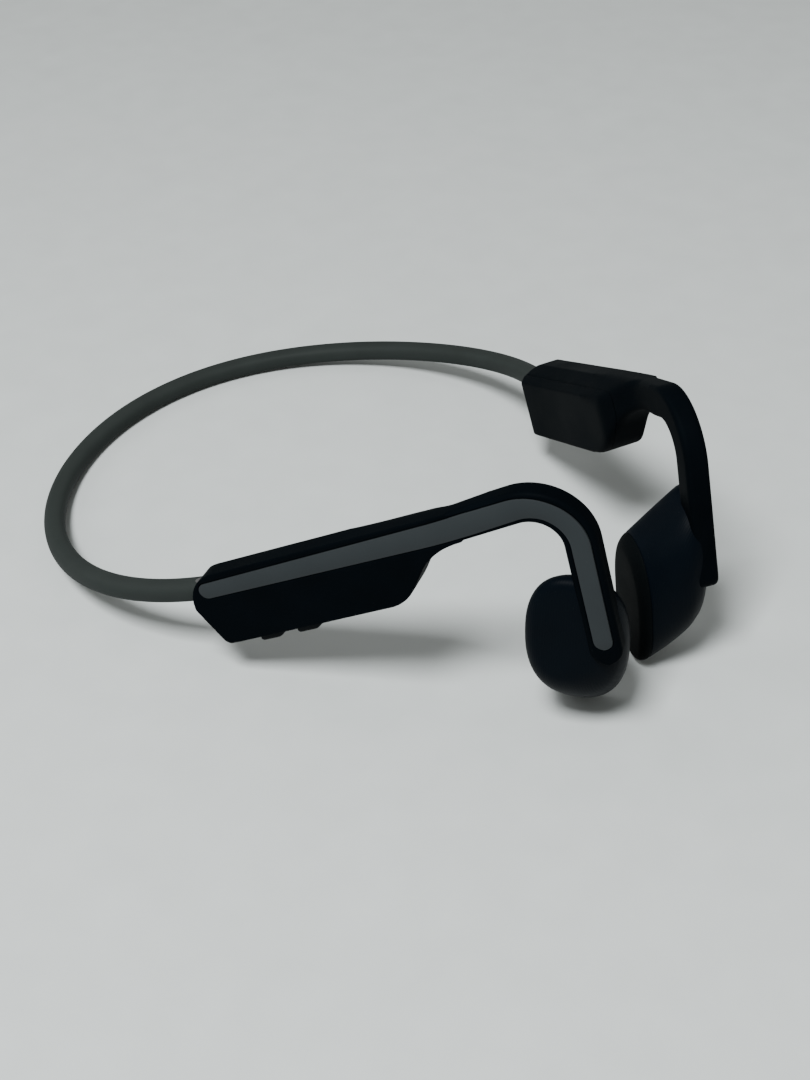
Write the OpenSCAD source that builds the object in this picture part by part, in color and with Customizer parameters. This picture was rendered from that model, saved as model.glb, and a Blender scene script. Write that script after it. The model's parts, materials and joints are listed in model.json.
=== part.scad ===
// Bone conduction headphones with a springy neckband, resting on its pods and neckband.
// X points to the front (the pods), Y to the wearer's left and Z up. Millimetres.

/* [Neckband] */
// Radius of the neckband's centreline, seen from above
band_radius = 48.3; // [46:0.1:52]
// Thickness of the neckband, measured outward
band_thickness = 4; // [3.6:0.1:4.6]
// Height of the neckband's section
band_height = 3.6; // [3.4:0.1:4.4]
// Angle at which the neckband's ends run inward towards the front
band_end = 28.3; // [26:0.1:31]
// Distance from the origin back to the centre of the neckband's arc
band_centre = 19.4; // [10:0.1:30]
// Height of the neckband's axis where it enters a housing
entry_height = 15.2; // [14.8:0.1:15.6]

/* [Arms] */
// Angle at which each arm runs inward towards the front
arm_yaw = 24.3; // [22:0.1:27]
// Angle at which the arms lean in at the top
arm_lean = 3.4; // [1:0.1:5]
// Further inward turn of the hook and the pod
hook_yaw = 6.6; // [4:0.1:8]
// Angle at which each housing climbs towards the front
arm_pitch = 26.3; // [25.5:0.1:27]
// Length along the housing's axis up to the start of the ear hook's bend
hook_start = 63; // [62:0.1:64]
// Radius of the ear hook's bend, at the middle of the strap
hook_radius = 7.4; // [7:0.1:7.8]
// Forward lean of the strap below the bend
strap_lean = 12.2; // [11:0.1:13]
// Length of the straight strap below the bend
strap_drop = 19.4; // [18.5:0.1:20.5]
// Width of the strap
strap_width = 5.3; // [5.2:0.1:5.6]
// Thickness of the strap
strap_thickness = 3.8; // [3.6:0.1:4]

/* [Housings] */
// Height of a housing below its axis
housing_below = 10; // [9.5:0.1:11]
// Height of a housing above its axis
housing_above = 3.4; // [3.3:0.1:3.8]
// Distance from the housing's axis out to its outer face
outer_face = 3.3; // [3.2:0.1:3.8]
// Distance from the housing's axis in to its inner face
inner_face = 4; // [3.9:0.1:4.6]
// Wall thickness of the housings
wall = 1.2; // [1:0.1:1.4]

/* [Pods] */
// Width of a pod along the arm
pod_width = 15.8; // [15:0.1:17]
// Height of a pod
pod_height = 24.2; // [24:0.1:24.6]
// Distance along the arm from the housing's rear to the pod's centre
pod_along = 65.9; // [65:0.1:67]
// Distance from the housing's axis out to a pod's outer face
pod_outer = 2.9; // [2.7:0.1:3]
// Distance from the housing's axis in to the skin contact face of a pod
pod_inner = 9.7; // [9.3:0.1:10.2]
// Drop of a pod's section for every millimetre inward
pod_slant = 0.79; // [0.7:0.01:0.85]

/* [Buttons] */
// Length of a volume button
button_length = 6.8; // [6.2:0.1:7]
// Width of a volume button
button_width = 3; // [2.8:0.1:3]
// Height of a volume button above the housing's lower edge
button_proud = 1.8; // [1:0.1:1.9]
// Distance between the centres of the two volume buttons
button_pitch = 7.8; // [7.7:0.1:8.5]
// Travel of every button
button_travel = 0.3; // [0.2:0.05:0.35]

/* [Hidden] */

$fn = 48;
right = -1;
left = 1;
gap = 0.1;

// Where the neckband meets the arms, seen from above, for the left side
entry_angle = 90 - band_end;
entry_x = band_radius * cos(entry_angle) - band_centre;
entry_y = band_radius * sin(entry_angle);
rear_height = band_height / 2;
band_rise_power = 1.87;
band_rings = 48;

// The strap's axis runs this far above the housing's axis
strap_above = 0.65;
strap_axis = outer_face - strap_thickness / 2;
strip_depth = 0.5;
strip_thickness = 0.6;
strip_rear = 3;
strip_end = strap_drop - 2;
cover_thickness = 1.4;
cover_joint = -inner_face + cover_thickness;
cavity_outer = outer_face - 1.4;
cavity_front = 41;
// middle of a housing's thickness, and of the parts set in its lower edge
middle = (outer_face - inner_face) / 2;
// the inner side is bevelled above this height, and drawn in ahead of this length
bevel_height = 0.5;
rear_bevel = 2.6;
taper_start = 42;
taper_end = 52;
// the hook and the pod turn inward about an upright line this far along the arm
turn_along = 45;
strap_start = 49.6;
pod_middle = -2;
pod_centre_z = 17.7;
pod_wall = 1.2;
pod_floor = -1.7;
pad_thickness = 1.7;
pad_joint = -pod_inner + pad_thickness;
first_button = 11.1;
button_out = 0.2;
port_along = 28.5;
port_length = 8;
port_width = 3.2;
light_along = 34.5;

// ---- paths and sections ----

// Points on an arc in the plane
function arc_points(cx, cy, r, from, to, steps) =
    [for (i = [0:steps]) let (a = from + (to - from) * i / steps) [cx + r * cos(a), cy + r * sin(a)]];

// A squarish oval, power 2 is an ellipse
function oval(width, height, power = 2.4, steps = 40) =
    [for (i = [0:steps - 1]) let (a = 360 * i / steps)
        [width / 2 * sign(cos(a)) * pow(abs(cos(a)), 2 / power),
         height / 2 * sign(sin(a)) * pow(abs(sin(a)), 2 / power)]];

// A point of the neckband's centreline at an angle round its arc
function band_point(a) =
    let (x = band_radius * cos(a), part = (x + band_radius) / (entry_x + band_centre + band_radius))
    [x - band_centre, band_radius * sin(a),
     rear_height + (entry_height - rear_height) * pow(max(part, 0), band_rise_power)];

// One ring of a tube round a point: across and up are half sizes
function ring(p, side, up, across, tall, steps, power) =
    [for (q = oval(2 * across, 2 * tall, power, steps)) p + side * q[0] + up * q[1]];

function unit(v) = v / norm(v);

// Rings of a tube along the neckband, moved outward and up from the centreline
function band_tube(across, tall, steps, out = 0, up = 0, beyond = 0, power = 2) =
    let (first = entry_angle - beyond, last = 360 - entry_angle + beyond)
    [for (i = [0:band_rings])
        let (a = first + (last - first) * i / band_rings,
             side = [cos(a), sin(a), 0],
             run = unit(band_point(a + 0.5) - band_point(a - 0.5)),
             rise = cross(side, run))
        ring(band_point(a) + side * out + rise * up, side, rise, across, tall, steps, power)];

// Solid skin over a list of rings
module skin(rings) {
    n = len(rings[0]);
    last = len(rings) - 1;
    points = [for (r = rings) each r];
    sides = [for (k = [0:last - 1], i = [0:n - 1])
        let (a = k * n + i, b = k * n + (i + 1) % n) each [[a, b, b + n], [a, b + n, a + n]]];
    ends = [[for (i = [n - 1:-1:0]) i], [for (i = [0:n - 1]) last * n + i]];
    polyhedron(points, concat(sides, ends));
}

// Stations [along, height, heading] of the strap's axis, from a place on the housing
function along_housing(s, q) =
    [s * cos(arm_pitch) - q * sin(arm_pitch),
     entry_height + s * sin(arm_pitch) + q * cos(arm_pitch), arm_pitch];

bend_start = along_housing(hook_start, strap_above);
bend_centre = [bend_start[0] + hook_radius * sin(arm_pitch), bend_start[1] - hook_radius * cos(arm_pitch)];
bend_steps = 16;
drop_heading = -90 + strap_lean;

function bend_station(h) =
    [bend_centre[0] - hook_radius * sin(h), bend_centre[1] + hook_radius * cos(h), h];

function drop_station(d) =
    let (p = bend_station(drop_heading))
    [p[0] + d * cos(drop_heading), p[1] + d * sin(drop_heading), drop_heading];

function strap_stations(from, drop) = concat(
    [for (i = [0:7]) along_housing(from + (hook_start - from) * i / 8, strap_above)],
    [for (i = [0:bend_steps]) bend_station(arm_pitch + (drop_heading - arm_pitch) * i / bend_steps)],
    [for (i = [1:4]) drop_station(drop * i / 4)]);

// Flat band along the stations, moved sideways, with a width at the start, middle and end
function ribbon(stations, w0, w1, w2, shift = 0, round_ends = false) =
    let (n = len(stations) - 1,
         half = [for (i = [0:n]) (i <= 7 ? w0 + (w1 - w0) * i / 7 :
                                  w1 + (w2 - w1) * min((i - 7) / 8, 1)) / 2],
         a = stations[0], b = stations[n])
    concat(
        [for (i = [0:n]) let (p = stations[i])
            [p[0] - (half[i] + shift) * sin(p[2]), p[1] + (half[i] + shift) * cos(p[2])]],
        round_ends ? [for (q = arc_points(b[0], b[1], half[n], b[2] + 75, b[2] - 75, 10)) q] : [],
        [for (i = [n:-1:0]) let (p = stations[i])
            [p[0] + (half[i] - shift) * sin(p[2]), p[1] - (half[i] - shift) * cos(p[2])]],
        round_ends ? [for (q = arc_points(a[0], a[1], half[0], a[2] - 105, a[2] - 255, 10)) q] : []);

// ---- frames ----

// Places children drawn for the left arm: X along the arm, Y outward, Z up
module arm(side) {
    mirror([0, side == right ? 1 : 0, 0]) translate([entry_x, entry_y, entry_height])
        rotate([0, 0, -arm_yaw]) rotate([arm_lean, 0, 0]) translate([0, 0, -entry_height]) children();
}

// Inside an arm: turned further inward, as the hook and the pod are
module hook_frame() {
    translate([turn_along, outer_face, 0]) rotate([0, 0, -hook_yaw])
        translate([-turn_along, -outer_face, 0]) children();
}

// Inside an arm: X along the housing's axis, Y outward, Z square to them
module housing_axis() {
    translate([0, 0, entry_height]) rotate([0, -arm_pitch, 0]) children();
}

// Extrudes an upright outline between two distances outward
module slab(from, to) {
    translate([0, to, 0]) rotate([90, 0, 0]) linear_extrude(to - from) children();
}

module block(x0, x1, y0, y1, z0, z1) {
    translate([x0, y0, z0]) cube([x1 - x0, y1 - y0, z1 - z0]);
}

// ---- neckband ----

module neckband_sleeve() {
    color("#3b4042") difference() {
        skin(band_tube(band_thickness / 2, band_height / 2, 12, beyond = -0.5));
        skin(band_tube(1.2, 1.4, 6, beyond = 0.5));
    }
}

module neckband_wire() {
    color("silver") skin(band_tube(0.45, 0.45, 6, up = 0.5, beyond = 2.4));
}

module neckband_leads() {
    color("firebrick") for (out = [-0.38, 0.38])
        skin(band_tube(0.3, 0.3, 5, out = out, up = -0.55, beyond = 2.4));
}

// ---- arms ----

// Side outline of a housing, drawn in by an inset
function housing_outline(inset, front) =
    let (slope = 42, bulge = 8, neck = 12, bulge_x = 36, corner = 1.6, shoulder = 6.7, rear = 1.9,
         // a deep inset needs a wider corner arc, so that its radius stays above zero
         keep = max(inset - corner + 0.2, 0),
         under = strap_above - strap_width / 2,
         bulge_y = -housing_below + bulge,
         neck_y = under - neck,
         // the straight between the two arcs leaves the bulge at the slope's angle
         leave = [bulge_x + bulge * sin(slope), bulge_y - bulge * cos(slope)],
         meet_y = neck_y + neck * cos(slope),
         neck_x = leave[0] + (meet_y - leave[1]) / tan(slope) + neck * sin(slope))
    concat(
        arc_points(rear + corner + keep, -housing_below + corner + keep, corner + keep - inset, 190, 270, 4),
        arc_points(bulge_x, bulge_y, bulge - inset, 270, 270 + slope, 8),
        front > neck_x ? arc_points(neck_x, neck_y, neck + inset, 90 + slope, 90, 8) : [],
        [[front, front > neck_x ? under + inset : under - 1.6 + inset], [front, strap_above + strap_width / 2 - inset],
         [40, housing_above - inset]],
        arc_points(shoulder, housing_above - shoulder, shoulder - inset, 90, 172, 10));

// Everything beyond a housing's inner bevel and front taper, drawn in by an inset
module beyond_bevel(inset) {
    edge = outer_face - strap_thickness;
    rise = atan((housing_above - bevel_height) / (inner_face + edge));
    // along the top, from the inner face's upper edge to the strap's inner edge
    translate([0, -inner_face, bevel_height]) rotate([rise, 0, 0])
        translate([-5, -8, -inset]) cube([70, 18, 12]);
    // at the front, from the inner face to the strap's inner edge
    translate([taper_start, -inner_face, 0]) rotate([0, 0, atan((inner_face + edge) / (taper_end - taper_start))])
        translate([-0.01, -12 + inset, -20]) cube([40, 12, 40]);
    // at the rear, from the inner face to the neckband's entry
    translate([rear_bevel, -inner_face, 0]) rotate([0, 0, -atan((inner_face + edge) / rear_bevel)])
        translate([-20, -12 + inset, -20]) cube([20, 12, 40]);
}

module strap_solid() {
    stations = strap_stations(strap_start, strap_drop);
    n = len(stations) - 1;
    // the last rings draw in to a rounded tip
    tip = [for (k = [1:4]) let (p = drop_station(strap_drop + strap_width / 2 * sin(k * 20)))
        [p[0], p[1], p[2], cos(k * 20)]];
    body = [for (i = [0:n]) [stations[i][0], stations[i][1], stations[i][2], 1]];
    skin([for (p = concat(body, tip))
        ring([p[0], strap_axis, p[1]], [-sin(p[2]), 0, cos(p[2])], [0, 1, 0],
             strap_width / 2 * p[3], strap_thickness / 2, 12, 4)]);
}

module strip_outline(extra) {
    polygon(ribbon(concat([for (i = [0:7]) along_housing(strip_rear + 1.4 + (hook_start - strip_rear) * i / 8,
                                                           strap_above)],
                          [for (i = [0:bend_steps])
                               bend_station(arm_pitch + (drop_heading - arm_pitch) * i / bend_steps)],
                          [for (i = [1:4]) drop_station(strip_end * i / 4)]),
                   2.8 + extra, 3.8 + extra, 3 + extra, round_ends = true));
}

// Slab of the strip's outline, bent where the hook turns inward
module bent_strip(from, to, extra) {
    intersection() {
        slab(from, to) strip_outline(extra);
        block(-5, turn_along + 0.01, -50, 50, 0, 60);
    }
    hook_frame() intersection() {
        slab(from, to) strip_outline(extra);
        block(turn_along - 0.01, 90, -50, 50, 0, 60);
    }
}

// Shell of one arm: housing, ear hook and strap in one moulding
module arm_shell() {
    difference() {
        union() {
            housing_axis() difference() {
                slab(cover_joint, outer_face) polygon(housing_outline(0, taper_end + 1.5));
                beyond_bevel(0);
            }
            hook_frame() strap_solid();
        }
        housing_axis() difference() {
            slab(cover_joint - 1, cavity_outer) polygon(housing_outline(wall, cavity_front));
            beyond_bevel(wall);
        }
        bent_strip(outer_face - strip_depth, outer_face + 1, 0.1);
        // lead channel from the housing through the hook
        housing_axis() block(cavity_front - 1.5, strap_start - 1, strap_axis - 1.1, strap_axis + 0.8,
                             strap_above - 1.7, strap_above + 1.7);
        hook_frame() slab(strap_axis - 1.1, strap_axis + 0.8)
            polygon(ribbon(strap_stations(strap_start - 2, 16), 3.4, 3.4, 3.4));
        // seat for the neckband's collar
        housing_axis() translate([-1, 0, 0]) rotate([0, 90, 0]) cylinder(d = 3.4, h = 6.2);
    }
}

module button_place(k) {
    housing_axis() translate([first_button + k * button_pitch, button_out, -housing_below]) children();
}

module port_place() {
    housing_axis() translate([port_along, middle, -housing_below]) children();
}

module light_place() {
    housing_axis() translate([light_along, middle, -housing_below]) children();
}

module microphone_place() {
    housing_axis() translate([first_button - 6.1, middle, -housing_below]) children();
}

module right_arm_shell() {
    color("#15181b") arm(right) difference() {
        arm_shell();
        for (k = [0, 1]) button_place(k)
            block(-button_length / 2 - gap, button_length / 2 + gap,
                  -button_width / 2 - gap, button_width / 2 + gap, -1, wall + 0.5);
        port_place() block(-port_length / 2, port_length / 2, -port_width / 2, port_width / 2, -1, wall + 0.5);
        light_place() translate([0, 0, -1]) cylinder(d = 1.2, h = wall + 2);
        microphone_place() translate([0, 0, -1]) cylinder(d = 0.8, h = wall + 2);
    }
}

module left_arm_shell() {
    color("#15181b") arm(left) arm_shell();
}

module inner_cover(side) {
    color("#15181b") arm(side) housing_axis() difference() {
        union() {
            difference() {
                slab(-inner_face, cover_joint - 0.02) polygon(housing_outline(0.4, taper_end - 6));
                beyond_bevel(0);
            }
            // rib that locates the cover inside the walls
            difference() {
                slab(cover_joint - 0.1, cover_joint + 0.6) polygon(housing_outline(wall + gap, cavity_front - 0.5));
                slab(cover_joint - 0.05, cover_joint + 1) polygon(housing_outline(wall + 0.7, cavity_front - 1.5));
                beyond_bevel(wall + gap);
            }
        }
        // the rib is open along the lower edge, clear of the buttons and the port
        block(2, light_along + 2, cover_joint + 0.02, cover_joint + 1, -housing_below, -housing_below + 4);
    }
}

module strip(side) {
    color("#3c4447") arm(side) bent_strip(outer_face - strip_depth, outer_face - strip_depth + strip_thickness, 0);
}

// Collar fixed in the housing's rear wall, with bores for the wire and the leads
module ferrule(side) {
    color("dimgray") arm(side) housing_axis() difference() {
        translate([0.8, 0, 0]) rotate([0, 90, 0]) cylinder(d = 3.4, h = 4.2);
        block(-1, 6, -1.05, 1.05, -1.3, 1.3);
    }
}

module hook_wire(side) {
    color("silver") arm(side) hook_frame() skin([for (p = strap_stations(strap_start - 1.5, 14))
        ring([p[0] - 0.9 * sin(p[2]), strap_axis - 0.15, p[1] + 0.9 * cos(p[2])],
             [-sin(p[2]), 0, cos(p[2])], [0, 1, 0], 0.5, 0.5, 8, 2)]);
}

module hook_leads(side) {
    color("firebrick") arm(side) hook_frame() for (shift = [-0.4, -1.2])
        slab(strap_axis - 0.6, strap_axis)
            polygon(ribbon(strap_stations(strap_start - 1.5, 15), 0.6, 0.6, 0.6, shift));
}

// ---- pods ----

// Height of the middle of a pod's section at a distance outward
function pod_height_at(w) = pod_centre_z + pod_slant * (w - pod_middle);

module pod_place(w = pod_middle) {
    hook_frame() translate([pod_along, 0, pod_height_at(w)]) children();
}

// Section of a pod, narrower inward of its middle and outward of it, drawn in by an inset
function pod_ring(w, inset = 0) =
    let (inward = max((pod_middle - w) / (pod_inner + pod_middle), 0),
         outward = max((w - pod_middle) / (pod_outer - pod_middle), 0),
         width = pod_width - 1.7 * inward - 3 * outward - 2 * inset,
         height = pod_height - 0.6 * inward - 3.2 * outward - 2 * inset)
    [for (q = oval(width, height, steps = 36))
        [pod_along - 0.7 * inward - 1.9 * outward + q[0], w, pod_height_at(w) + q[1]]];

module pod_skin(levels) {
    hook_frame() skin([for (k = levels) pod_ring(k[0], k[1])]);
}

// Part of a pod's section between two distances outward
module pod_slab(from, to, inset) {
    pod_skin([[from, inset], [to, inset]]);
}

module pod_shell_body() {
    difference() {
        pod_skin([[pad_joint, 0], [pod_middle, 0], [pod_outer - 1.5, 0], [pod_outer - 0.8, 0.15],
                  [pod_outer - 0.25, 0.7], [pod_outer, 1.5]]);
        pod_skin([[pad_joint - 1, pod_wall], [pod_middle, pod_wall], [pod_floor, pod_wall]]);
        // slot for the strap, and its tip
        hook_frame() slab(strap_axis - strap_thickness / 2, pod_outer + 2)
            polygon(ribbon(strap_stations(turn_along, strap_drop), strap_width, strap_width, strap_width,
                           round_ends = true));
        // way in for the leads
        hook_frame() translate([drop_station(15)[0], pod_floor - 1, drop_station(15)[1]])
            rotate([-90, 0, 0]) cylinder(d = 1.8, h = 3);
    }
}

module right_pod_shell() {
    color("#15181b") arm(right) difference() {
        pod_shell_body();
        pod_place(-3.4) translate([0, -3.4, 0]) rotate([0, 90, 0]) cylinder(d = 0.8, h = pod_width);
    }
}

multi_along = -4.2;
multi_width = 4.6;
multi_height = 9;
multi_floor = -1.1;

module stadium(width, height) {
    union() {
        square([width, height - width], center = true);
        for (k = [-1, 1]) translate([0, k * (height - width) / 2]) circle(d = width);
    }
}

module left_pod_shell() {
    color("#15181b") arm(left) difference() {
        pod_shell_body();
        pod_place(0) translate([multi_along, 0, 0]) {
            slab(0.5, 5) stadium(multi_width + 2 * gap, multi_height + 2 * gap);
            slab(multi_floor, 0.7) stadium(multi_width + 1.4, multi_height + 1.4);
        }
    }
}

module pod_pad(side) {
    color("#1c2124") arm(side) pod_skin([
        [-pod_inner, 2], [-pod_inner + 0.3, 0.9], [-pod_inner + 0.9, 0.2], [pad_joint - 0.05, 0.15]]);
}

module pod_seal(side) {
    color("#2a2f31") arm(side) difference() {
        pod_slab(pad_joint, pad_joint + 0.5, pod_wall + 0.1);
        pod_slab(pad_joint - 1, pad_joint + 2, pod_wall + 1.2);
    }
}

// The transducer is set square to the pad, at the height of its own middle
coil_width = 5.4;
coil_height = 8;
coil_level = -5.5;
yoke_back = -3.1;

module coil_place() {
    pod_place(coil_level) translate([-0.3, 0, 0]) children();
}

module voice_coil(side) {
    color("peru") arm(side) coil_place() difference() {
        slab(pad_joint + 0.1, pad_joint + 2.3) square([coil_width, coil_height], center = true);
        slab(pad_joint - 1, pad_joint + 4) square([coil_width - 1, coil_height - 1], center = true);
    }
}

// Cup of soft iron round the magnet, open towards the pad, with a post to the spring plate
module yoke(side) {
    color("gray") arm(side) coil_place() {
        difference() {
            slab(pad_joint + 0.9, yoke_back) square([coil_width + 3, coil_height + 3], center = true);
            slab(pad_joint - 1, yoke_back - 0.8) square([coil_width + 1, coil_height + 1], center = true);
        }
        translate([0, yoke_back - 0.05, 0]) rotate([-90, 0, 0]) cylinder(d = 3, h = 0.75);
    }
}

module magnet(side) {
    color("lightsteelblue") arm(side) coil_place()
        slab(pad_joint + 2.3, yoke_back - 0.8) square([coil_width - 2.2, coil_height - 2.2], center = true);
}

module pole_plate(side) {
    color("darkgray") arm(side) coil_place()
        slab(pad_joint + 1.5, pad_joint + 2.3) square([coil_width - 2.2, coil_height - 2.2], center = true);
}

module spring_plate(side) {
    color("lightgray") arm(side) difference() {
        pod_slab(yoke_back + 0.7, yoke_back + 1, pod_wall + 0.15);
        for (k = [-1, 1]) coil_place() translate([k * 3.2, 0, 0]) slab(-4, 0) square([1, 9], center = true);
    }
}

// ---- right housing ----

module main_board() {
    color("darkgreen") arm(right) housing_axis() block(5, 35, -0.6, 0.2, -5.5, 1.5);
}

module radio_shield() {
    color("silver") arm(right) housing_axis() block(22, 33, 0.2, 1.6, -5, 1);
}

module switch(k) {
    color("black") arm(right) button_place(k) block(-1.8, 1.8, -1.6, 1.6, 2.4, 4.4);
}

module button_seal() {
    color("#2a2f31") arm(right) difference() {
        button_place(0) block(-3.9, 4 + button_pitch, -1.65, 1.65, wall, wall + 0.3);
        for (k = [0, 1]) button_place(k)
            block(-button_length / 2 - gap, button_length / 2 + gap,
                  -button_width / 2 - gap, button_width / 2 + gap, 0, 3);
    }
}

module volume_button(k) {
    color("#1b1f22") arm(right) button_place(k) {
        block(-button_length / 2, button_length / 2, -button_width / 2, button_width / 2,
              -button_proud, wall + 0.4);
        block(-button_length / 2 - 0.3, button_length / 2 + 0.3, -button_width / 2 - 0.15, button_width / 2 + 0.15,
              wall + 0.35, wall + 0.75);
    }
}

module charge_port_frame() {
    color("#1b1f22") arm(right) port_place() difference() {
        union() {
            block(-port_length / 2, port_length / 2, -port_width / 2, port_width / 2, 0.1, wall + 1);
            block(-port_length / 2 - 0.6, port_length / 2 + 0.6, -port_width / 2 - 0.3, port_width / 2 + 0.3,
                  wall + 0.01, wall + 1);
        }
        block(-port_length / 2 + 0.6, port_length / 2 - 0.6, -port_width / 2 + 0.6, port_width / 2 - 0.6, -1, 0.6);
        for (k = [-1, 1]) translate([k * 1.5, 0, -1]) cylinder(d = 1.2, h = 5);
    }
}

module charge_contacts() {
    color("gold") arm(right) port_place() for (k = [-1, 1])
        translate([k * 1.5, 0, 0.4]) cylinder(d = 1.2, h = 3.2);
}

module charge_magnets() {
    color("lightsteelblue") arm(right) port_place() for (k = [-1, 1])
        translate([k * 3.6, 0, wall + 1]) cylinder(d = 2, h = 1.6);
}

module indicator_light() {
    color("white") arm(right) light_place() translate([0, 0, 0.05]) cylinder(d = 1.2, h = wall + 1);
}

module call_microphone() {
    color("gold") arm(right) microphone_place() block(-0.6, 0.6, -1.4, 1.4, wall, wall + 0.9);
}

module noise_microphone() {
    color("gold") arm(right) pod_place(-3.4)
        block(pod_width / 2 - pod_wall - 1.5, pod_width / 2 - pod_wall - 0.7, -4.2, -2.6, -1.3, 1.3);
}

// ---- left housing ----

module battery_cell() {
    color("silver") arm(left) housing_axis() block(6.5, 33, -1.8, 1.6, -7.8, 0);
}

module protection_board() {
    color("darkgreen") arm(left) housing_axis() block(34, 35, -1.6, 1.5, -7, 0);
}

module battery_foam() {
    color("dimgray") arm(left) housing_axis() block(8, 32, -2.2, -1.85, -7, -0.6);
}

module multifunction_button() {
    color("#1b1f22") arm(left) pod_place(0) translate([multi_along, 0, 0]) {
        slab(0.2, pod_outer + 0.35) stadium(multi_width, multi_height);
        slab(-0.2, 0.4) stadium(multi_width + 1, multi_height + 1);
    }
}

module multifunction_switch() {
    color("darkgreen") arm(left) pod_place(0) translate([multi_along, 0, 0]) {
        slab(multi_floor + 0.05, multi_floor + 0.3) stadium(multi_width + 1.2, multi_height + 1.2);
        slab(multi_floor + 0.25, -0.2 - button_travel - 0.05) square([3, 3.6], center = true);
    }
}

// ---- every node ----

neckband_sleeve();
neckband_wire();
neckband_leads();
right_arm_shell();
left_arm_shell();
inner_cover(right);  // right_inner_cover
inner_cover(left);  // left_inner_cover
strip(right);  // right_strip
strip(left);  // left_strip
ferrule(right);  // right_ferrule
ferrule(left);  // left_ferrule
hook_wire(right);  // right_hook_wire
hook_wire(left);  // left_hook_wire
hook_leads(right);  // right_hook_leads
hook_leads(left);  // left_hook_leads
right_pod_shell();
left_pod_shell();
pod_pad(right);  // right_pod_pad
pod_pad(left);  // left_pod_pad
pod_seal(right);  // right_pod_seal
pod_seal(left);  // left_pod_seal
voice_coil(right);  // right_voice_coil
voice_coil(left);  // left_voice_coil
spring_plate(right);  // right_spring_plate
spring_plate(left);  // left_spring_plate
yoke(right);  // right_yoke
yoke(left);  // left_yoke
magnet(right);  // right_magnet
magnet(left);  // left_magnet
pole_plate(right);  // right_pole_plate
pole_plate(left);  // left_pole_plate
main_board();
radio_shield();
switch(1);  // volume_up_switch
switch(0);  // volume_down_switch
button_seal();
volume_button(1);  // volume_up_button
volume_button(0);  // volume_down_button
charge_port_frame();
charge_contacts();
charge_magnets();
indicator_light();
call_microphone();
noise_microphone();
battery_cell();
protection_board();
battery_foam();
multifunction_button();
multifunction_switch();
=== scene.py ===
import json
import math

import bmesh
import bpy
from mathutils import Matrix, Vector


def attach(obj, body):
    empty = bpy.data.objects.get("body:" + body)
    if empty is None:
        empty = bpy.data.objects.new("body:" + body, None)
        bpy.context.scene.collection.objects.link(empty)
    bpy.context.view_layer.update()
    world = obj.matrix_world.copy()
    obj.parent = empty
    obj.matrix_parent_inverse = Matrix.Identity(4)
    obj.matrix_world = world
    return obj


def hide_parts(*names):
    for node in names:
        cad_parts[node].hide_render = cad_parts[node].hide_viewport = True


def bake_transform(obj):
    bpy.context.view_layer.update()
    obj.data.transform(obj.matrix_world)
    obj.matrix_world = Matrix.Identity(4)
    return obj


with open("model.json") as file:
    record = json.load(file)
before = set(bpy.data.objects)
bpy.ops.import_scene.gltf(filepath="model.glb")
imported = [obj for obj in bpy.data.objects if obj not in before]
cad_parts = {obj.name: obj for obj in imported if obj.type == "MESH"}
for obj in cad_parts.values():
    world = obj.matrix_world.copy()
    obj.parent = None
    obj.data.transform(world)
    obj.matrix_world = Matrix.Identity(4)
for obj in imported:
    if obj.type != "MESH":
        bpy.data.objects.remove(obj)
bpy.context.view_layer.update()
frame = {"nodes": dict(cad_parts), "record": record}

MM = 0.001
RIGHT, LEFT = -1, 1
SIDE_NAME = {RIGHT: "right", LEFT: "left"}

# ---- sizes shared with the CAD part, in millimetres and degrees ----
BAND_RADIUS, BAND_CENTRE, BAND_END = 48.3, 19.4, 28.3
BAND_THICKNESS, BAND_HEIGHT, BAND_RISE_POWER = 4.0, 3.6, 1.87
ENTRY_HEIGHT, ARM_YAW, ARM_LEAN, ARM_PITCH, HOOK_YAW = 15.2, 24.3, 3.4, 26.3, 6.6
HOOK_START, HOOK_RADIUS, STRAP_LEAN, STRAP_DROP = 63.0, 7.4, 12.2, 19.4
STRAP_WIDTH, STRAP_THICKNESS, STRAP_ABOVE, STRAP_EDGE = 5.3, 3.8, 0.65, 0.85
BELOW, ABOVE, OUTER, INNER, COVER_JOINT = 10.0, 3.4, 3.3, 4.0, -2.6
TURN_ALONG, TAPER_START, TAPER_END, REAR_BEVEL, BEVEL_HEIGHT = 45.0, 42.0, 52.0, 2.6, 0.5
POD_ALONG, POD_MIDDLE, POD_CENTRE_Z, POD_SLANT = 65.9, -2.0, 17.7, 0.79
POD_WALL, POD_FLOOR = 1.2, -1.7
POD_WIDTH, POD_HEIGHT, POD_OUTER, POD_INNER, PAD_THICKNESS = 15.8, 24.2, 2.9, 9.7, 1.7
BUTTON_LENGTH, BUTTON_WIDTH, BUTTON_PROUD = 6.8, 3.0, 1.8
BUTTON_PITCH, FIRST_BUTTON, BUTTON_OUT, MICROPHONE_ALONG = 7.8, 11.1, 0.2, 5.0
PORT_ALONG, PORT_LENGTH, PORT_WIDTH, LIGHT_ALONG = 28.5, 8.0, 3.2, 34.5
WELL_GAP, BUTTON_WELL, PORT_WELL, HOLE_DEPTH = 0.2, 2.4, 1.9, 2.0
LIGHT_SIZE, VOICE_SIZE, SEAM = 1.3, 0.9, 0.04
MULTI_ALONG, MULTI_WIDTH, MULTI_HEIGHT = -4.2, 4.6, 9.0
STRIP_REAR, STRIP_DROP, STRIP_DEPTH = 4.4, 17.4, 0.5
MIDDLE = (OUTER - INNER) / 2
EDGE = OUTER - STRAP_THICKNESS
STRAP_AXIS = OUTER - STRAP_THICKNESS / 2
PAD_JOINT = -POD_INNER + PAD_THICKNESS

entry_angle = math.radians(90 - BAND_END)
entry_x = BAND_RADIUS * math.cos(entry_angle) - BAND_CENTRE
entry_y = BAND_RADIUS * math.sin(entry_angle)


def turn(degrees, axis):
    return Matrix.Rotation(math.radians(degrees), 4, axis)


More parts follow.
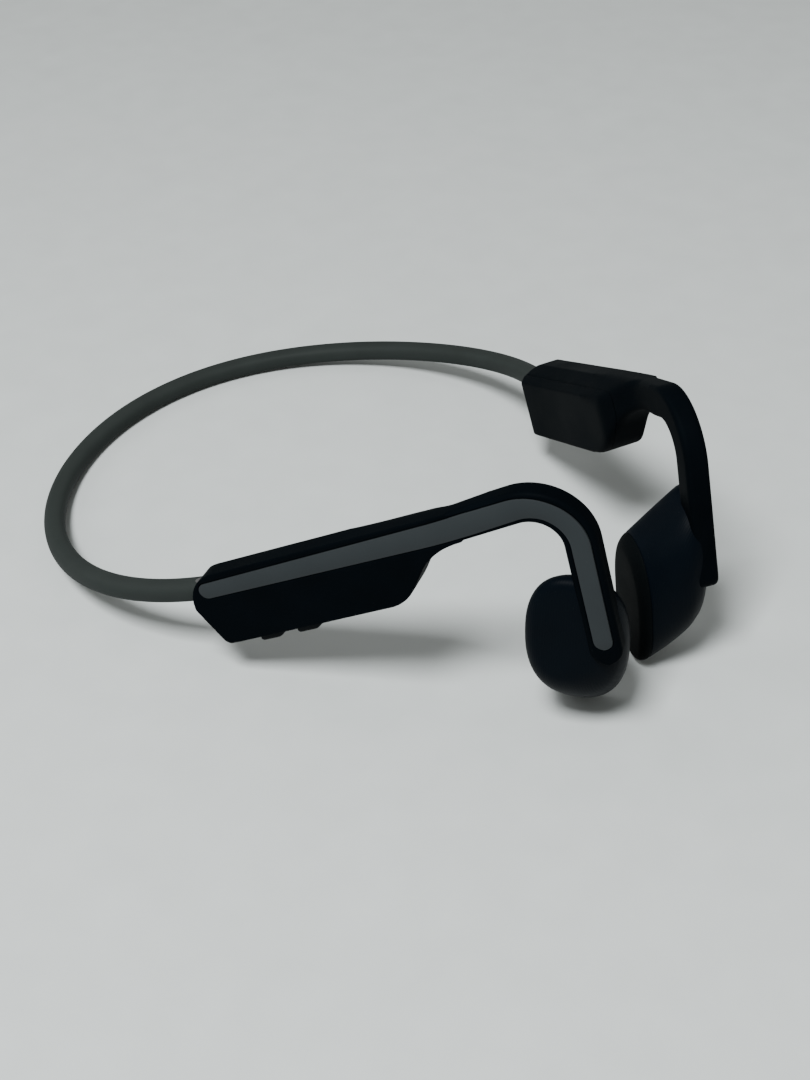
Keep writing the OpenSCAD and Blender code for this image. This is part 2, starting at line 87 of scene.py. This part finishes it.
def shift(x, y, z):
    return Matrix.Translation((x, y, z))


def arm_matrix(side):
    """From an arm's own millimetres (along, outward, up) to the row frame's metres."""
    mirror = Matrix.Diagonal((1, side, 1, 1))
    scale = Matrix.Diagonal((MM, MM, MM, 1))
    place = shift(entry_x, entry_y, ENTRY_HEIGHT) @ turn(-ARM_YAW, "Z") @ turn(ARM_LEAN, "X")
    return scale @ mirror @ place @ shift(0, 0, -ENTRY_HEIGHT)


HOUSING = shift(0, 0, ENTRY_HEIGHT) @ turn(-ARM_PITCH, "Y")
HOOK = shift(TURN_ALONG, OUTER, 0) @ turn(-HOOK_YAW, "Z") @ shift(-TURN_ALONG, -OUTER, 0)


# ---- mesh helpers ----
def new_object(name, verts, faces):
    mesh = bpy.data.meshes.new(name)
    mesh.from_pydata([tuple(v) for v in verts], [], faces)
    obj = bpy.data.objects.new(name, mesh)
    bpy.context.scene.collection.objects.link(obj)
    outward(obj)
    return obj


def outward(obj):
    bm = bmesh.new()
    bm.from_mesh(obj.data)
    bmesh.ops.recalc_face_normals(bm, faces=bm.faces)
    bm.to_mesh(obj.data)
    bm.free()


def loft(name, rings):
    """Closed skin over rings of points that all have the same count."""
    count = len(rings[0])
    verts = [p for ring in rings for p in ring]
    faces = []
    for k in range(len(rings) - 1):
        for i in range(count):
            j = (i + 1) % count
            faces.append((k * count + i, k * count + j, (k + 1) * count + j, (k + 1) * count + i))
    faces.append(tuple(range(count - 1, -1, -1)))
    faces.append(tuple(range((len(rings) - 1) * count, len(rings) * count)))
    return new_object(name, verts, faces)


def slab(name, outline, w0, w1):
    """Upright outline of (along, up) points, extruded between two distances outward."""
    return loft(name, [[(s, w, q) for s, q in outline] for w in (w0, w1)])


def bake(obj):
    """Replaces the object's mesh with the result of its modifiers."""
    graph = bpy.context.evaluated_depsgraph_get()
    mesh = bpy.data.meshes.new_from_object(obj.evaluated_get(graph))
    obj.modifiers.clear()
    obj.data = mesh
    return obj


def combine(obj, other, operation):
    modifier = obj.modifiers.new("combine", "BOOLEAN")
    modifier.operation = operation
    modifier.solver = "EXACT"
    modifier.object = other
    bake(obj)
    bpy.data.objects.remove(other)
    return obj


def cut_away(obj, point, normal):
    """Removes what lies on the normal's side of a plane and closes the cut."""
    bm = bmesh.new()
    bm.from_mesh(obj.data)
    cut = bmesh.ops.bisect_plane(bm, geom=bm.verts[:] + bm.edges[:] + bm.faces[:], plane_co=point,
                                 plane_no=normal, clear_outer=True, dist=1e-4)
    edges = [e for e in cut["geom_cut"] if isinstance(e, bmesh.types.BMEdge)]
    bmesh.ops.contextual_create(bm, geom=edges)
    bmesh.ops.recalc_face_normals(bm, faces=bm.faces)
    bm.to_mesh(obj.data)
    bm.free()
    return obj


def soften(obj, voxel, rounds):
    """Remeshes a moulded part finely and rounds its edges a little."""
    remesh = obj.modifiers.new("remesh", "REMESH")
    remesh.mode = "VOXEL"
    remesh.voxel_size = voxel
    smooth = obj.modifiers.new("smooth", "SMOOTH")
    smooth.factor = 0.5
    smooth.iterations = rounds
    return bake(obj)


def blend_front(obj, rounds):
    """Smooths away the facets where a housing's inner side runs into the strap."""
    first, last, fade = 34, 60, 6
    outer_end, outer_fade = 1.4, 1.5
    pitch = math.radians(ARM_PITCH)
    group = obj.vertex_groups.new(name="front")
    levels = {}
    for vert in obj.data.vertices:
        x, out, z = vert.co
        along = x * math.cos(pitch) + (z - ENTRY_HEIGHT) * math.sin(pitch)
        weight = (min(max((along - first) / fade, 0), 1) * min(max((last - along) / fade, 0), 1)
                  * min(max((outer_end - out) / outer_fade, 0), 1))
        if weight > 0:
            levels.setdefault(round(weight, 1), []).append(vert.index)
    for weight, members in levels.items():
        group.add(members, weight, "REPLACE")
    smooth = obj.modifiers.new("front", "SMOOTH")
    smooth.factor = 0.5
    smooth.iterations = rounds
    smooth.vertex_group = "front"
    return bake(obj)


def fewer_faces(obj, share):
    fewer = obj.modifiers.new("fewer", "DECIMATE")
    fewer.ratio = share
    return bake(obj)


def copy_of(obj, name):
    twin = obj.copy()
    twin.data = obj.data.copy()
    twin.name = name
    bpy.context.scene.collection.objects.link(twin)
    return twin


def finish_piece(obj, name, side, material, body, nodes, frame_matrix=None, angle=40):
    """Puts a piece built in an arm's frame in place, gives it its material and body, and hides the CAD
    nodes it stands in for.
    """
    matrix = arm_matrix(side) if side else Matrix.Diagonal((MM, MM, MM, 1))
    if frame_matrix is not None:
        matrix = matrix @ frame_matrix
    obj.data.transform(matrix)
    outward(obj)
    obj.name = name
    obj.data.name = name
    obj.data.materials.clear()
    obj.data.materials.append(material)
    obj.data.polygons.foreach_set("use_smooth", [True] * len(obj.data.polygons))
    obj.data.set_sharp_from_angle(angle=math.radians(angle))
    if body:
        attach(obj, body)
    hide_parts(*nodes)
    return obj


# ---- outlines ----
def arc(cx, cy, r, start, end, steps):
    return [(cx + r * math.cos(math.radians(start + (end - start) * i / steps)),
             cy + r * math.sin(math.radians(start + (end - start) * i / steps))) for i in range(steps + 1)]


def oval(width, height, power, steps):
    """Squarish oval; power 2 is an ellipse."""
    points = []
    for i in range(steps):
        c, s = math.cos(2 * math.pi * i / steps), math.sin(2 * math.pi * i / steps)
        points.append((width / 2 * math.copysign(abs(c) ** (2 / power), c),
                       height / 2 * math.copysign(abs(s) ** (2 / power), s)))
    return points


def stadium(width, height, steps=16):
    straight = (height - width) / 2
    return arc(0, straight, width / 2, 0, 180, steps) + arc(0, -straight, width / 2, 180, 360, steps)


def housing_outline():
    """Side view of a housing with its S-shaped front, seen along the arm's outward axis."""
    slope, bulge, neck, bulge_x = 42, 8, 12, 36
    corner, shoulder, rear, top_end = 1.6, 6.7, 1.9, 40
    under = STRAP_ABOVE - STRAP_WIDTH / 2
    bulge_y = -BELOW + bulge
    neck_y = under - neck
    sine, cosine = math.sin(math.radians(slope)), math.cos(math.radians(slope))
    leave_x, leave_y = bulge_x + bulge * sine, bulge_y - bulge * cosine
    neck_x = leave_x + (neck_y + neck * cosine - leave_y) * cosine / sine + neck * sine
    front = TAPER_END + 1.5
    lower_corner = arc(rear + corner, -BELOW + corner, corner, 190, 270, 12)
    bulge_arc = arc(bulge_x, bulge_y, bulge, 270, 270 + slope, 20)
    neck_arc = [p for p in arc(neck_x, neck_y, neck, 90 + slope, 90, 20) if p[0] < front]
    strap_end = [(front, under), (front, STRAP_ABOVE + STRAP_WIDTH / 2), (top_end, ABOVE)]
    shoulder_arc = arc(shoulder, ABOVE - shoulder, shoulder, 90, 172, 24)
    return lower_corner + bulge_arc + neck_arc + strap_end + shoulder_arc


def along_housing(s, q):
    a = math.radians(ARM_PITCH)
    return (s * math.cos(a) - q * math.sin(a), ENTRY_HEIGHT + s * math.sin(a) + q * math.cos(a), ARM_PITCH)


bend_start = along_housing(HOOK_START, STRAP_ABOVE)
bend_centre = (bend_start[0] + HOOK_RADIUS * math.sin(math.radians(ARM_PITCH)),
               bend_start[1] - HOOK_RADIUS * math.cos(math.radians(ARM_PITCH)))
DROP_HEADING = -90 + STRAP_LEAN


def bend_station(h):
    a = math.radians(h)
    return (bend_centre[0] - HOOK_RADIUS * math.sin(a), bend_centre[1] + HOOK_RADIUS * math.cos(a), h)


def drop_station(d):
    u, z, h = bend_station(DROP_HEADING)
    a = math.radians(h)
    return (u + d * math.cos(a), z + d * math.sin(a), h)


def stations_between(start, straight, bend, drop, down):
    """(along, up, heading) from a place on the housing, round the bend and down the drop."""
    return ([along_housing(start + (HOOK_START - start) * i / straight, STRAP_ABOVE)
             for i in range(straight)]
            + [bend_station(ARM_PITCH + (DROP_HEADING - ARM_PITCH) * i / bend) for i in range(bend + 1)]
            + [drop_station(drop * i / down) for i in range(1, down + 1)])


def strap_stations():
    """Down the middle of the strap, from where it leaves the housing's full thickness to its tip."""
    return stations_between(TAPER_START, 24, 40, STRAP_DROP, 20)


def rounded_rectangle(width, height, radius, steps=6):
    across, tall = width / 2 - radius, height / 2 - radius
    points = []
    for k, (sx, sy) in enumerate(((1, 1), (-1, 1), (-1, -1), (1, -1))):
        points += arc(sx * across, sy * tall, radius, 90 * k, 90 * k + 90, steps)
    return points


def strap_ring(station, across):
    u, z, h = station
    a = math.radians(h)
    radius = min(STRAP_EDGE, across / 2.05, STRAP_THICKNESS / 2.05)
    return [(u - q * math.sin(a), STRAP_AXIS + w, z + q * math.cos(a))
            for q, w in rounded_rectangle(across, STRAP_THICKNESS, radius)]


def strap_rings():
    """Sections down the strap, the last ones drawing in to a rounded tip."""
    rings = [strap_ring(station, STRAP_WIDTH) for station in strap_stations()]
    for k in range(1, 10):
        step = math.radians(k * 9.5)
        tip = drop_station(STRAP_DROP + STRAP_WIDTH / 2 * math.sin(step))
        rings.append(strap_ring(tip, STRAP_WIDTH * math.cos(step)))
    return rings


def strip_width(k, total):
    """Width of the grey strip, narrow at the rear, widest ahead of the housing."""
    part = k / total
    return 2.8 + part / 0.45 if part < 0.45 else max(3.8 - (part - 0.45) * 4, 3.0)


def strip_solid(name, w0, w1, extra, rim=0.0):
    """Strip from end to end in the arm's upright plane, round at both ends, with a softened outer rim."""
    rail = stations_between(STRIP_REAR, 60, 40, STRIP_DROP, 16)
    total = len(rail) - 1
    stations = [(u, z, h, (strip_width(k, total) + extra) / 2) for k, (u, z, h) in enumerate(rail)]
    for end, way in ((0, -1), (total, 1)):
        u, z, h, half = stations[end] if end == 0 else stations[-1]
        for k in range(1, 10):
            step = math.radians(9.8 * k)
            a = math.radians(h)
            reach = way * half * math.sin(step)
            cap = (u + reach * math.cos(a), z + reach * math.sin(a), h, half * math.cos(step))
            if way < 0:
                stations.insert(0, cap)
            else:
                stations.append(cap)
    rings = []
    for u, z, h, half in stations:
        a = math.radians(h)
        soft = min(rim, half * 0.9)
        part = soft * 0.3
        section = [(-half, w0), (-half, w1 - soft), (-half + part, w1 - part), (-half + soft, w1),
                   (half - soft, w1), (half - part, w1 - part), (half, w1 - soft), (half, w0)]
        rings.append([(u - q * math.sin(a), w, z + q * math.cos(a)) for q, w in section])
    return loft(name, rings)


def bend_inward(obj):
    """Turns what lies ahead of the housing inward by the hook's angle, along a short arc."""
    length = 6.0
    first = TURN_ALONG - length / 2
    angle = math.radians(HOOK_YAW)
    radius = length / angle
    for vert in obj.data.vertices:
        ahead = vert.co.x - first
        if ahead <= 0:
            continue
        part = min(ahead / length, 1) * angle
        rest = max(ahead - length, 0)
        inward = OUTER - vert.co.y
        vert.co.x = first + (radius - inward) * math.sin(part) + rest * math.cos(part)
        vert.co.y = OUTER - radius + (radius - inward) * math.cos(part) - rest * math.sin(part)
    return obj


# ---- materials ----
def material(name, colour, rough, metal=0.0, tint=0.15, grain=900.0, depth=0.00002, coat=0.0,
             specks=0.0, pattern=None, shine=0.5):
    """Principled material with colour drift, uneven gloss, a fine grain, and light dust specks."""
    spread = 0.08
    made = bpy.data.materials.new(name)
    made.use_nodes = True
    nodes, links = made.node_tree.nodes, made.node_tree.links
    shader = nodes["Principled BSDF"]
    shader.inputs["Metallic"].default_value = metal
    shader.inputs["Specular IOR Level"].default_value = shine
    shader.inputs["Coat Weight"].default_value = coat
    shader.inputs["Coat Roughness"].default_value = 0.35
    shader.inputs["Base Color"].default_value = (*colour, 1)
    where = nodes.new("ShaderNodeTexCoord")

    def noise(scale, detail):
        made_noise = nodes.new("ShaderNodeTexNoise")
        made_noise.inputs["Scale"].default_value = scale
        made_noise.inputs["Detail"].default_value = detail
        links.new(where.outputs["Object"], made_noise.inputs["Vector"])
        return made_noise.outputs["Fac"]

    def ramp(value, low, high, from_low=0.3, from_high=0.7):
        mapped = nodes.new("ShaderNodeMapRange")
        limits = {"From Min": from_low, "From Max": from_high, "To Min": low, "To Max": high}
        for key, number in limits.items():
            mapped.inputs[key].default_value = number
        links.new(value, mapped.inputs["Value"])
        return mapped.outputs["Result"]

    def mix(amount, first, second):
        mixer = nodes.new("ShaderNodeMix")
        mixer.data_type = "RGBA"
        links.new(amount, mixer.inputs["Factor"])
        for key, value in (("A", first), ("B", second)):
            socket = [s for s in mixer.inputs if s.name == key and s.type == "RGBA"][0]
            if isinstance(value, tuple):
                socket.default_value = (*value, 1)
            else:
                links.new(value, socket)
        return [s for s in mixer.outputs if s.type == "RGBA"][0]

    dark = tuple(c * (1 - tint) for c in colour)
    light = tuple(min(c * (1 + tint), 1) for c in colour)
    shade = mix(ramp(noise(120, 5), 0, 1), dark, light)
    height = noise(grain, 4)
    if pattern == "winding" or pattern == "ridges":
        wave = nodes.new("ShaderNodeTexWave")
        wave.bands_direction = "X" if pattern == "ridges" else "Y"
        wave.inputs["Scale"].default_value = 900
        wave.inputs["Distortion"].default_value = 0.6
        links.new(where.outputs["Object"], wave.inputs["Vector"])
        joined = nodes.new("ShaderNodeMath")
        joined.operation = "MULTIPLY_ADD"
        joined.inputs[1].default_value = 1.6
        links.new(wave.outputs["Fac"], joined.inputs[0])
        links.new(height, joined.inputs[2])
        height = joined.outputs[0]
    if pattern == "traces":
        brick = nodes.new("ShaderNodeTexBrick")
        brick.inputs["Scale"].default_value = 260
        brick.inputs["Mortar Size"].default_value = 0.09
        links.new(where.outputs["Object"], brick.inputs["Vector"])
        shade = mix(brick.outputs["Fac"], shade, tuple(min(c * 2.4 + 0.01, 1) for c in colour))
    if pattern == "foam":
        cells = nodes.new("ShaderNodeTexVoronoi")
        cells.inputs["Scale"].default_value = 2600
        links.new(where.outputs["Object"], cells.inputs["Vector"])
        height = cells.outputs["Distance"]
    if specks:
        dust = ramp(noise(5200, 2), 0, specks, 0.70, 0.78)
        shade = mix(dust, shade, (0.16, 0.165, 0.17))
    links.new(shade, shader.inputs["Base Color"])
    gloss = ramp(noise(60, 6), max(rough - spread, 0.02), min(rough + spread, 1))
    links.new(gloss, shader.inputs["Roughness"])
    bump = nodes.new("ShaderNodeBump")
    bump.inputs["Distance"].default_value = depth
    bump.inputs["Strength"].default_value = 1
    links.new(height, bump.inputs["Height"])
    links.new(bump.outputs["Normal"], shader.inputs["Normal"])
    return made


BLACK = (0.0012, 0.0022, 0.0032)
look = {
    "black_shell": material("soft_touch_black", BLACK, 0.55, grain=2600, depth=0.00001, specks=0.05,
                            shine=0.008),
    "pod": material("pod_black_ridged", (0.0012, 0.0026, 0.0046), 0.5, grain=2600, depth=0.000008,
                    specks=0.04, pattern="ridges", shine=0.03),
    "grey_strip": material("satin_grey_strip", (0.025, 0.029, 0.0315), 0.5, grain=3200, depth=0.000006,
                           tint=0.05, specks=0.06, shine=0.05),
    "sleeve": material("grey_silicone", (0.022, 0.0262, 0.0248), 0.6, grain=1800, depth=0.000012,
                       tint=0.08, specks=0.10, shine=0.05),
    "pad": material("black_silicone", (0.0020, 0.0028, 0.0032), 0.6, grain=1500, depth=0.000015,
                    specks=0.06, shine=0.015),
    "button": material("button_rubber", BLACK, 0.5, grain=2200, depth=0.000015, specks=0.04, shine=0.03),
    "seal": material("seal_rubber", (0.03, 0.03, 0.03), 0.7),
    "spring_wire": material("titanium_wire", (0.45, 0.45, 0.47), 0.28, metal=1, grain=3000, depth=0.000006),
    "insulation": material("lead_insulation", (0.35, 0.03, 0.03), 0.45),
    "collar": material("collar_nylon", (0.05, 0.05, 0.05), 0.6),
    "copper": material("enamelled_copper", (0.55, 0.25, 0.10), 0.3, metal=1, pattern="winding",
                       depth=0.00004),
    "steel": material("soft_iron", (0.40, 0.40, 0.42), 0.38, metal=1),
    "magnet": material("nickel_plate", (0.55, 0.56, 0.58), 0.16, metal=1, tint=0.05),
    "board": material("solder_mask", (0.01, 0.10, 0.04), 0.35, coat=0.5, pattern="traces"),
    "shield": material("tinned_can", (0.60, 0.60, 0.62), 0.3, metal=1),
    "switch": material("port_plastic", (0.016, 0.018, 0.020), 0.42),
    "gold": material("gold_plate", (0.80, 0.58, 0.20), 0.2, metal=1, tint=0.08),
    "light": material("milky_lens", (0.80, 0.80, 0.78), 0.25, coat=0.6, tint=0.03),
    "battery": material("pouch_foil", (0.62, 0.63, 0.65), 0.32, metal=0.9, grain=500, depth=0.00004),
    "foam": material("open_foam", (0.06, 0.06, 0.06), 0.9, pattern="foam", depth=0.0001),
}

# every CAD node that stays visible takes its slot's material
slot_of = {part["node"]: part["material_slot"] for part in frame["record"]["subparts"]}
for node_name, node in frame["nodes"].items():
    node.data.materials.clear()
    node.data.materials.append(look[slot_of[node_name]])


# ---- neckband, in two halves ----
def band_point(angle):
    x = BAND_RADIUS * math.cos(angle)
    part = max((x + BAND_RADIUS) / (entry_x + BAND_CENTRE + BAND_RADIUS), 0)
    rear = BAND_HEIGHT / 2
    height = rear + (ENTRY_HEIGHT - rear) * part ** BAND_RISE_POWER
    return Vector((x - BAND_CENTRE, BAND_RADIUS * math.sin(angle), height))


BAND_RINGS = 80
TURN_STEP = 0.01


def band_half(name, side, across, tall, beyond, out, up):
    """Tube from the rear centre to an arm's entry, and some degrees beyond it."""
    last = entry_angle - math.radians(beyond)
    rings = []
    for i in range(BAND_RINGS + 1):
        angle = math.pi + (last - math.pi) * i / BAND_RINGS
        outwards = Vector((math.cos(angle), math.sin(angle), 0))
        run = (band_point(angle - TURN_STEP) - band_point(angle + TURN_STEP)).normalized()
        rise = run.cross(outwards)
        if rise.z < 0:
            rise = -rise
        centre = band_point(angle) + outwards * out + rise * up
        section = oval(2 * across, 2 * tall, 2.6, 32)
        rings.append([centre + outwards * a + rise * b for a, b in section])
    return loft(name, [[(p.x, p.y * side, p.z) for p in ring] for ring in rings])


for side in (RIGHT, LEFT):
    end = band_point(entry_angle) * MM
    end.y *= side
    # half width, half height, degrees beyond the entry, distance outward and up, for each tube
    for kind, slot, tubes in (
            ("sleeve", "sleeve", [(BAND_THICKNESS / 2, BAND_HEIGHT / 2, 2.2, 0, 0)]),
            ("wire", "spring_wire", [(0.45, 0.45, 3.5, 0, 0.5)]),
            ("leads", "insulation", [(0.3, 0.3, 3.5, out, -0.55) for out in (-0.38, 0.38)])):
        pieces = [band_half(kind, side, *sizes) for sizes in tubes]
        obj = pieces[0]
        if len(pieces) > 1:
            obj = combine(obj, pieces[1], "UNION")
        finish_piece(obj, f"{SIDE_NAME[side]}_half_{kind}", 0, look[slot], None,
                     [f"neckband_{kind}"], angle=60)
        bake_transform(obj)

# ---- arms ----
VOXEL = 0.17


def in_housing(obj):
    obj.data.transform(HOUSING)
    return obj


def arm_body():
    """Housing with its bevels, joined to the ear hook, as one solid in the arm's frame."""
    body = slab("arm_body", housing_outline(), -INNER, OUTER)
    top = Vector((0, -(ABOVE - BEVEL_HEIGHT), INNER + EDGE)).normalized()
    front = Vector((INNER + EDGE, -(TAPER_END - TAPER_START), 0)).normalized()
    rear = Vector((-(INNER + EDGE), -REAR_BEVEL, 0)).normalized()
    cut_away(body, (0, -INNER, BEVEL_HEIGHT), top)
    cut_away(body, (TAPER_START, -INNER, 0), front)
    cut_away(body, (REAR_BEVEL, -INNER, 0), rear)
    rim = body.modifiers.new("rim", "BEVEL")
    rim.width = 0.8
    rim.segments = 5
    rim.limit_method = "ANGLE"
    rim.angle_limit = math.radians(22)
    bake(body)
    in_housing(body)
    combine(body, loft("strap", strap_rings()), "UNION")
    return combine(body, strip_solid("groove", OUTER - STRIP_DEPTH, OUTER + 2, 0.2), "DIFFERENCE")


def under_edge(name, along, length, width, depth, corner, out):
    """Rounded well sunk into a housing's lower edge."""
    rings = []
    for q in (-BELOW - 2, -BELOW + depth):
        rings.append([(along + a, out + b, q) for a, b in rounded_rectangle(length, width, corner)])
    return in_housing(loft(name, rings))


solid = arm_body()
for side in (RIGHT, LEFT):
    name = SIDE_NAME[side]
    body = copy_of(solid, name + "_body")
    if side == RIGHT:
        for k in (0, 1):
            well = under_edge("well", FIRST_BUTTON + k * BUTTON_PITCH, BUTTON_LENGTH + 2 * WELL_GAP,
                              BUTTON_WIDTH + 2 * WELL_GAP, BUTTON_WELL, 0.8, BUTTON_OUT)
            combine(body, well, "DIFFERENCE")
        port = under_edge("port", PORT_ALONG, PORT_LENGTH, PORT_WIDTH, PORT_WELL, 1.4, MIDDLE)
        light_hole = under_edge("light", LIGHT_ALONG, LIGHT_SIZE, LIGHT_SIZE, HOLE_DEPTH, 0.6, MIDDLE)
        voice_hole = under_edge("voice", MICROPHONE_ALONG, VOICE_SIZE, VOICE_SIZE, HOLE_DEPTH, 0.42, MIDDLE)
        for hole in (port, light_hole, voice_hole):
            combine(body, hole, "DIFFERENCE")
    # the inner cover is the part of the housing inward of the joint, behind the hook
    blend_front(soften(body, VOXEL, 6), 220)
    cover = copy_of(body, name + "_cover")
    cut_away(cover, (0, COVER_JOINT - SEAM, 0), (0, 1, 0))
    cut_away(body, (0, COVER_JOINT + SEAM, 0), (0, -1, 0))
    for part in (body, cover):
        bend_inward(fewer_faces(part, 0.5))
    finish_piece(body, name + "_arm_moulding", side, look["black_shell"], name + "_arm",
                 [name + "_arm_shell"], angle=180)
    finish_piece(cover, name + "_cover_moulding", side, look["black_shell"], name + "_arm",
                 [name + "_inner_cover"], angle=180)
    strip = bend_inward(strip_solid("strip", OUTER - STRIP_DEPTH - 0.1, OUTER + 0.05, 0, 0.12))
    finish_piece(strip, name + "_strip_inlay", side, look["grey_strip"], name + "_arm",
                 [name + "_strip"], angle=35)
bpy.data.objects.remove(solid)


# ---- pods ----
def pod_level(w):
    return POD_CENTRE_Z + POD_SLANT * (w - POD_MIDDLE)


def pod_ring(w, inset):
    """Pod's section at a distance outward, narrower towards the pad and towards the outer face."""
    inward = max((POD_MIDDLE - w) / (POD_INNER + POD_MIDDLE), 0)
    outer = max((w - POD_MIDDLE) / (POD_OUTER - POD_MIDDLE), 0)
    inward, outer = inward * inward, outer * outer
    width = POD_WIDTH - 1.7 * inward - 2.6 * outer - 2 * inset
    height = POD_HEIGHT - 0.6 * inward - 2.6 * outer - 2 * inset
    centre = POD_ALONG - 0.7 * inward - 1.7 * outer
    return [(centre + a, w, pod_level(w) + b) for a, b in oval(width, height, 2.4, 64)]


def rounded_levels(w_flat, w_side, radius, deepest):
    """(distance outward, inset) pairs that round a pod's rim from its side to its face."""
    steps = 10
    levels = []
    for i in range(steps + 1):
        a = math.radians(90 * i / steps)
        levels.append((w_side + (w_flat - w_side) * math.sin(a), radius * (1 - math.cos(a))))
    return levels + [(w_flat + (w_flat - w_side) * 0.03, radius + (deepest - radius) * k) for k in (0.5, 1)]


def pod_shell(name):
    """Hollow shell, open towards the pad; each (distance outward, inset) makes one ring."""
    outside = [(PAD_JOINT, 0.12), (PAD_JOINT + 0.1, 0.03), (PAD_JOINT + 0.3, 0)]
    outside += [(w, 0) for w in (-5, -3.2, -2.6, POD_MIDDLE, -1.4, -0.8)]
    outside += rounded_levels(POD_OUTER, POD_OUTER - 2.4, 2.4, 5)
    shell = loft(name, [pod_ring(w, inset) for w, inset in outside])
    cavity = loft("cavity", [pod_ring(w, POD_WALL) for w in (PAD_JOINT - 1, POD_MIDDLE, POD_FLOOR)])
    return combine(shell, cavity, "DIFFERENCE")


for side in (RIGHT, LEFT):
    name = SIDE_NAME[side]
    shell = pod_shell(name + "_pod")
    if side == LEFT:
        well = slab("well", [(POD_ALONG + MULTI_ALONG + a, pod_level(0) + b)
                             for a, b in stadium(MULTI_WIDTH + 0.3, MULTI_HEIGHT + 0.3)], -0.6, 5)
        combine(shell, well, "DIFFERENCE")
    finish_piece(shell, name + "_pod_moulding", side, look["pod"], name + "_arm",
                 [name + "_pod_shell"], HOOK, 30)
    face = [(PAD_JOINT - 0.03, 0.12), (PAD_JOINT - 0.12, 0.03)]
    face += rounded_levels(-POD_INNER, PAD_JOINT - 0.2, 1.5, 5)
    pad = loft(name + "_pad", [pod_ring(w, inset) for w, inset in face])
    finish_piece(pad, name + "_pad_cushion", side, look["pad"], name + "_arm",
                 [name + "_pod_pad"], HOOK, 40)

# ---- buttons ----
for k, key in enumerate(("volume_down_button", "volume_up_button")):
    along = FIRST_BUTTON + k * BUTTON_PITCH
    rings = []
    for q, inset in ((2.0, 0), (0, 0), (-BUTTON_PROUD + 0.55, 0), (-BUTTON_PROUD + 0.25, 0.12),
                     (-BUTTON_PROUD + 0.07, 0.38), (-BUTTON_PROUD, 0.8)):
        # the rear end is stepped and the front end slopes into the surface
        slope = 1.5 * max(-q, 0)
        rings.append([(along - slope / 2 + a * (BUTTON_LENGTH - 2 * inset - slope) / BUTTON_LENGTH,
                       BUTTON_OUT + b * (BUTTON_WIDTH - 2 * inset) / BUTTON_WIDTH, -BELOW + q)
                      for a, b in rounded_rectangle(BUTTON_LENGTH, BUTTON_WIDTH, 0.75)])
    button = loft(key, rings)
    finish_piece(button, key + "_cap", RIGHT, look["button"], key, [key], HOUSING, 35)

rings = []
MULTI_LEVELS = ((0.05, 0), (0.2, 0.1), (0.32, 0.35), (0.36, 0.8))
for w, inset in [(-0.2, 0)] + [(POD_OUTER + proud, inset) for proud, inset in MULTI_LEVELS]:
    rings.append([(POD_ALONG + MULTI_ALONG + a, w, pod_level(0) + b)
                  for a, b in stadium(MULTI_WIDTH - 2 * inset, MULTI_HEIGHT - 2 * inset)])
multi = loft("multifunction_button_cap", rings)
finish_piece(multi, "multifunction_button_cap", LEFT, look["button"], "multifunction_button",
             ["multifunction_button"], HOOK, 35)

# ---- floor, light and camera ----
floor = new_object("floor", [(-3, -3, 0), (3, -3, 0), (3, 3, 0), (-3, 3, 0)], [(0, 1, 2, 3)])
floor.data.transform(Matrix.Translation((0, 0, -0.0002)))
table = material("pale_table", (0.57, 0.60, 0.595), 0.55, tint=0.02, grain=700, depth=0.00001)
floor.data.materials.append(table)


def area_light(name, direction, elevation, distance, size, power, colour=(1, 1, 1)):
    lamp = bpy.data.lights.new(name, "AREA")
    lamp.energy, lamp.size, lamp.color = power, size, colour
    obj = bpy.data.objects.new(name, lamp)
    bpy.context.scene.collection.objects.link(obj)
    a, e = math.radians(direction), math.radians(elevation)
    back = Vector((math.sin(a) * math.cos(e), -math.cos(a) * math.cos(e), math.sin(e)))
    obj.location = back * distance
    obj.rotation_euler = (-back).to_track_quat("-Z", "Y").to_euler()


area_light("key", 24, 62, 0.75, 0.20, 8.8, (0.98, 1, 1))
area_light("window", -70, 35, 0.9, 0.5, 1.3)
world = bpy.data.worlds.new("studio")
world.use_nodes = True
world.node_tree.nodes["Background"].inputs["Color"].default_value = (0.98, 1, 0.97, 1)
world.node_tree.nodes["Background"].inputs["Strength"].default_value = 0.30
bpy.context.scene.world = world

CAMERA_PLACE = (0.1832, -0.15468, 0.18511)
AZIMUTH, ELEVATION, ROLL = 48.4, 38.0, -4.65
camera = bpy.data.cameras.new("camera")
camera.lens, camera.sensor_width = 53.33, 36
camera.clip_start, camera.clip_end = 0.01, 10
eye = bpy.data.objects.new("camera", camera)
bpy.context.scene.collection.objects.link(eye)
a, e = math.radians(AZIMUTH), math.radians(ELEVATION)
back = Vector((math.sin(a) * math.cos(e), -math.cos(a) * math.cos(e), math.sin(e)))
right = Vector((math.cos(a), math.sin(a), 0))
up = back.cross(right)
spin = math.radians(ROLL)
right, up = right * math.cos(spin) + up * math.sin(spin), up * math.cos(spin) - right * math.sin(spin)
eye.matrix_world = Matrix((right, up, back)).transposed().to_4x4()
eye.location = CAMERA_PLACE
bpy.context.scene.camera = eye
